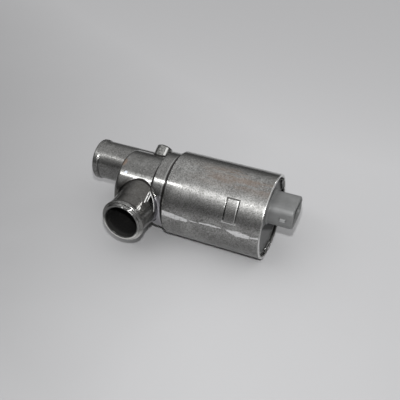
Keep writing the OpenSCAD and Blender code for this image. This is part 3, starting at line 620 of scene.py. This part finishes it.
    def glints_on_port(self):
        """Lit lines along the radial port, its root and its mouth, and a pale spot on the chamber."""
        reach, turn = self.reach, self.port_turn
        glints = (reach - self.seam).span(-0.25, 0.25, 0.12) * turn.span(6.0, 55.0, 2.0)
        for start, end, first, last, width in GLINTS:
            middle = (reach - start) * ((last - first) / (end - start)) + first
            glints = glints.high(reach.span(start, end, 0.3) * (turn - middle).span(-width, width, 0.8))
        mouth = turn.span(80.0, 86.0, 1.0).high(turn.span(45.0, 66.0, 1.5) * self.grain.step(0.60, 0.50))
        self.glints = glints.high(mouth * reach.step(36.9, 37.1) * self.port.span(9.3, 9.75, 0.12))
        self.lay(self.glints * self.on_port * self.grain.step(0.64, 0.52), (0.97, 0.97, 0.95))
        self.pale_spot = self.near(-50.6, 44.0, 0.12).step(1.2, 0.4) * self.fore
        self.lay(self.pale_spot * 0.8, (0.75, 0.80, 0.90))

    def hollows(self):
        """Painted shade on the far wall of the rim, in the slits beside its tabs, and inside the radial
        port.
        """
        x, y, radius = self.x, self.y, self.radius
        wall = y.step(2.0, 6.0) * x.span(24.6, 26.0, 0.1) * radius.step(21.4, 21.1) * self.z.step(-6.0, 2.0)
        self.lay(wall * 0.8, (0.02, 0.02, 0.02))
        from_tab = ((self.turn + 180.0).math("MODULO", TAB_STEP) - TAB_STEP / 2).absolute()
        beside = from_tab * radius * (math.pi / 180)
        slits = x.span(24.8, 26.2, 0.1) * beside.span(4.0, 5.0, 0.15) * radius.step(21.7, 21.5)
        self.lay(slits, (0.02, 0.02, 0.02))
        # Painted shade inside the radial port's bore.
        self.inside = self.port.step(9.4, 9.05) * y.step(-9.0, -11.0)
        self.lay(self.inside * 0.95, (0.012, 0.012, 0.012))

    def stamp(self):
        """The stamped rectangle: painted shade in its outline, painted highlight along its right side and
        its foot.
        """
        wide = (self.x - sum(STAMP_X) / 2).absolute() - (STAMP_X[1] - STAMP_X[0]) / 2
        tall = (self.turn - sum(STAMP_TURN) / 2).absolute() - (STAMP_TURN[1] - STAMP_TURN[0]) / 2
        border = wide.high(tall * (BARREL_R * math.pi / 180))
        right, foot = self.x.step(11.0, 12.0), self.turn.step(16.5, 15.0)
        # Painted shade in the outline of the stamp.
        self.outline = border.span(-0.7, 0.1, 0.12) * self.on_barrel * (1.0 - foot * 0.7)
        faded = 1.0 - right * self.turn.step(34.0, 24.0) * 0.4
        self.lay(self.outline * self.grain.step(0.74, 0.46) * faded, (0.03, 0.03, 0.028))
        # Painted highlight along the stamp's right side and its foot.
        lit = (border.span(-1.05, -0.75, 0.1) * right).high(border.span(-0.35, 0.15, 0.1) * foot)
        self.lay(lit * self.on_barrel * self.blotch.step(0.30, 0.42) * 0.8, (0.80, 0.80, 0.79))

    def surface(self):
        """Roughness, metal and height under the marks; returns the material."""
        rough = 0.155 + 0.11 * (self.blotch - 0.5) + 0.06 * self.grain.step(0.49, 0.60)
        rough = rough + 0.35 * self.glue + 0.4 * self.shade_and_grime + 0.15 * self.flank + 0.2 * self.glints
        rough = rough + 0.13 * self.x.step(-57.0, -60.0)
        covered = (0.9 * self.glue + 0.7 * self.shade_and_grime).high(self.glints * self.on_port * 0.9)
        covered = covered.high(self.inside * 0.7).high(self.pale_spot * 0.8).high(self.lip * 0.75)
        height = self.grain * 0.16 + self.speck * 0.04 + self.blotch * 0.35
        height = height + self.glue * 0.3 - self.outline * 0.8
        return self.finish(Base_Color=self.tone, Metallic=1.0 - covered, Roughness=rough,
                           Normal=self.bump(height, 0.14, 0.20))


def cast_aluminium():
    """The casting's finish, its marks and painted light and shade laid in this order."""
    look = CastLook()
    look.mottle()
    look.shade()
    look.brown_reflection_and_rust()
    look.label_glue()
    look.grime_shade_wear_and_highlights()
    look.step_shade_and_crease_highlight()
    look.boss()
    look.glints_on_port()
    look.hollows()
    look.stamp()
    return look.surface()


def boss_place_sockets(x, y, z):
    """The stop boss's own coordinates, as boss_place gives them for points."""
    c, s = math.cos(math.radians(BOSS_SLOPE)), math.sin(math.radians(BOSS_SLOPE))
    side, up = x - BOSS_X, z * c - y * s - BOSS_SHIFT
    return y * c + z * s, (side * side + up * up).root()


def cap_plastic():
    """Matte grey moulding: lighter edges, painted shade and grime in the hollows, painted shade over its
    face and a painted shadow under the connector, painted shade on its front side, painted highlights on
    the latch rib and a ridge.
    """
    m = Sockets("cap_plastic")
    spot, (x, y, z) = m.place()
    hollow, edge = m.attribute("hollow"), m.attribute("edge")
    cloud = m.noise(spot, 0.16, 4.0, 0.6)
    fine = m.noise(spot, 4.0, 3.0, 0.6)
    tone = m.mix(cloud.step(0.35, 0.65), (0.150, 0.153, 0.152), (0.19, 0.193, 0.192))
    tone = m.mix(edge.step(0.25, 0.8) * 0.5, tone, (0.36, 0.365, 0.365))
    # Hollows darkened: painted shade and grime.
    tone = m.mix(hollow.step(0.3, 0.9) * 0.7, tone, (0.03, 0.03, 0.03))
    radius = (y * y + z * z).root()
    face = x.step(25.4, 25.2)
    # Painted shadow of the connector on the cap's face, and painted shade over the whole face.
    shade_and_grime = z.step(0.5, -0.5) * (z + y * 0.69 + 8.7).step(-1.4, 0.8) * face
    tone = m.mix((face * 0.35).high(shade_and_grime * 0.85), tone, (0.012, 0.012, 0.012))
    rim = radius.span(19.9, 20.75, 0.1) * x.step(24.0, 24.3) * face
    tone = m.mix(rim * 0.8, tone, (0.45, 0.45, 0.44))
    # Painted shade on the connector's front side, and darker towards the cap.
    tone = m.mix((x.step(30.0, 26.0) * 0.2).high(y.step(-8.8, -9.2) * 0.26), tone, (0.06, 0.06, 0.06))
    # Painted highlights on the latch rib and along a ridge of the connector.
    latch = y.step(-9.5, -9.75) * x.span(32.0, 35.2, 0.2)
    from_ridge = ((y + 8.2) * (y + 8.2) + (z - 11.6) * (z - 11.6)).root()
    ridge = from_ridge.step(1.0, 0.5) * x.step(27.0, 29.0)
    tone = m.mix((latch * 0.4).high(ridge * 0.08), tone, (0.45, 0.46, 0.46))
    rough = 0.46 + 0.12 * (cloud - 0.5) + 0.5 * shade_and_grime
    return m.finish(Base_Color=tone, Roughness=rough, Normal=m.bump(fine, 0.3, 0.08))


def plain(name, colour, roughness=0.5, metallic=0.0):
    """A finish with a faint unevenness, for the pieces inside."""
    m = Sockets(name)
    spot, _ = m.place()
    cloud = m.noise(spot, 0.4, 4.0, 0.6)
    fine = m.noise(spot, 6.0, 2.0)
    tone = m.mix(cloud.step(0.3, 0.7), tuple(c * 0.75 for c in colour), colour)
    return m.finish(Base_Color=tone, Metallic=metallic, Roughness=roughness + 0.15 * (cloud - 0.5),
                    Normal=m.bump(fine, 0.2, 0.05))


FINISHES = {
    "cast_aluminium": cast_aluminium(),
    "cap_plastic": cap_plastic(),
    "seal_rubber": plain("seal_rubber", (0.03, 0.03, 0.03), 0.7),
    "screw_steel": plain("screw_steel", (0.5, 0.47, 0.4), 0.4, 1.0),
    "plug_metal": plain("plug_metal", (0.62, 0.55, 0.36), 0.4, 1.0),
    "terminal_metal": plain("terminal_metal", (0.62, 0.56, 0.42), 0.4, 1.0),
    "brush_plastic": plain("brush_plastic", (0.17, 0.09, 0.05)),
    "carbon": plain("carbon", (0.04, 0.04, 0.04), 0.6),
    "spring_steel": plain("spring_steel", (0.55, 0.55, 0.55), 0.3, 1.0),
    "motor_steel": plain("motor_steel", (0.34, 0.34, 0.35), 0.45, 1.0),
    "magnet": plain("magnet", (0.09, 0.09, 0.1), 0.6),
    "bearing_steel": plain("bearing_steel", (0.7, 0.7, 0.71), 0.2, 1.0),
    "slide_metal": plain("slide_metal", (0.46, 0.44, 0.4), 0.4, 1.0),
    "winding_wire": plain("winding_wire", (0.5, 0.2, 0.07), 0.35, 1.0),
    "copper": plain("copper", (0.7, 0.36, 0.2), 0.35, 1.0),
}

for entry in frame["record"]["subparts"]:
    node = frame["nodes"][entry["node"]]
    node.data.materials.clear()
    node.data.materials.append(FINISHES[entry["material_slot"]])

CASTING_GRID = (
    stations((-82.6, -77.4, 0.45), (-77.4, -57.0, 0.9), (-57.0, -23.0, 0.6), (-23.0, 5.6, 1.0),
             (5.6, 14.4, 0.5), (14.4, 22.0, 1.0), (22.0, 27.2, 0.4)),
    stations((-38.5, -33.2, 0.5), (-33.2, 24.9, 0.62)),
    stations((-23.2, 24.2, 0.62)),
)
CAP_GRID = (
    stations((14.9, 22.0, 0.6), (22.0, 39.4, 0.45)),
    stations((-21.6, 21.6, 0.45)),
    stations((-21.6, 21.6, 0.45)),
)
form("casting", casting, CASTING_GRID, "housing",
     FINISHES["cast_aluminium"], "valve_body")
form("moulded_cap", moulded_cap, CAP_GRID, "end_cap",
     FINISHES["cap_plastic"], "valve_body")


# ---------------------------------------------------------------- stage

def camera_axes():
    """The camera's right, up and back directions from its turn, rise and roll."""
    turn, rise, roll = (math.radians(a) for a in (CAMERA_TURN, CAMERA_RISE, CAMERA_ROLL))
    back = Vector((math.sin(turn) * math.cos(rise), -math.cos(turn) * math.cos(rise), math.sin(rise)))
    right = Vector((math.cos(turn), math.sin(turn), 0.0))
    up = back.cross(right)
    c, s = math.cos(roll), math.sin(roll)
    return right * c + up * s, up * c - right * s, back


def add_camera():
    right, up, back = camera_axes()
    data = bpy.data.cameras.new("photo_camera")
    data.sensor_width = SENSOR
    data.lens = SENSOR * FOCAL_PIXELS / FRAME_PIXELS
    data.clip_start = 0.01
    camera = bpy.data.objects.new("photo_camera", data)
    spot = (Vector(CAMERA_TARGET) + back * CAMERA_REACH) * MM
    camera.matrix_world = Matrix.Translation(spot) @ Matrix((right, up, back)).transposed().to_4x4()
    bpy.context.scene.collection.objects.link(camera)
    bpy.context.scene.camera = camera


def add_lamp(name, spot, aim, length, width, power):
    """A soft lamp at a place in millimetres, turned towards a point, its length level."""
    data = bpy.data.lights.new(name, "AREA")
    data.shape = "RECTANGLE"
    data.size = length * MM
    data.size_y = width * MM
    data.energy = power
    lamp = bpy.data.objects.new(name, data)
    away = (Vector(spot) - Vector(aim)).normalized()
    level = Vector((0.0, 0.0, 1.0)).cross(away).normalized()
    turned = Matrix((level, away.cross(level), away)).transposed().to_4x4()
    lamp.matrix_world = Matrix.Translation(Vector(spot) * MM) @ turned
    bpy.context.scene.collection.objects.link(lamp)


def add_floor():
    """A wide pale floor under the valve, with painted light: its colour a little brighter away from the
    camera and to the right.
    """
    mesh = bpy.data.meshes.new("floor")
    half, z = FLOOR_HALF * MM, FLOOR_Z * MM
    corners = [(-half, -half, z), (half, -half, z), (half, half, z), (-half, half, z)]
    mesh.from_pydata(corners, [], [(0, 1, 2, 3)])
    floor = bpy.data.objects.new("floor", mesh)
    bpy.context.scene.collection.objects.link(floor)
    m = Sockets("floor_paper")
    spot, (spot_x, spot_y, _) = m.place()
    level = spot_x.low(0.0) * 0.00065 + spot_y * 0.0010 + 0.508
    level = level + m.noise(spot, 0.01, 3.0) * 0.03
    level = level.high(0.38).low(0.64)
    tone = m.mix(level, (0.0, 0.0, 0.0), FLOOR_TONE)
    mesh.materials.append(m.finish(Base_Color=tone, Roughness=0.9))


def add_world():
    """Soft light from above that falls off towards the horizon; the camera sees an even pale grey."""
    world = bpy.data.worlds.new("studio")
    bpy.context.scene.world = world
    world.use_nodes = True
    m = Sockets("studio", world.node_tree)
    rise = m.make("ShaderNodeSeparateXYZ", output=2, i0=m.make("ShaderNodeTexCoord", output=0))
    level = WORLD_LOW + (WORLD_HIGH - WORLD_LOW) * rise.step(0.1, 0.9)
    level = level + (WORLD_SEEN - level) * m.make("ShaderNodeLightPath", output=0)
    sky = m.make("ShaderNodeBackground", Color=(1.0, 1.0, 1.0), Strength=level)
    m.make("ShaderNodeOutputWorld", Surface=sky)


add_camera()
add_floor()
add_world()
right, up, back = camera_axes()
aim = Vector(CAMERA_TARGET)
flash_spot = aim + back * CAMERA_REACH + up * FLASH_ABOVE_LENS
add_lamp("flash", flash_spot, aim, FLASH_WIDTH, FLASH_WIDTH, FLASH_POWER)
add_lamp("key_lamp", KEY_SPOT, (0, 0, 0), KEY_LENGTH, KEY_WIDTH, KEY_POWER)
add_lamp("back_lamp", BACK_SPOT, (-20, 0, 0), BACK_WIDTH, BACK_WIDTH, BACK_POWER)

bpy.context.scene.view_settings.view_transform = "Standard"
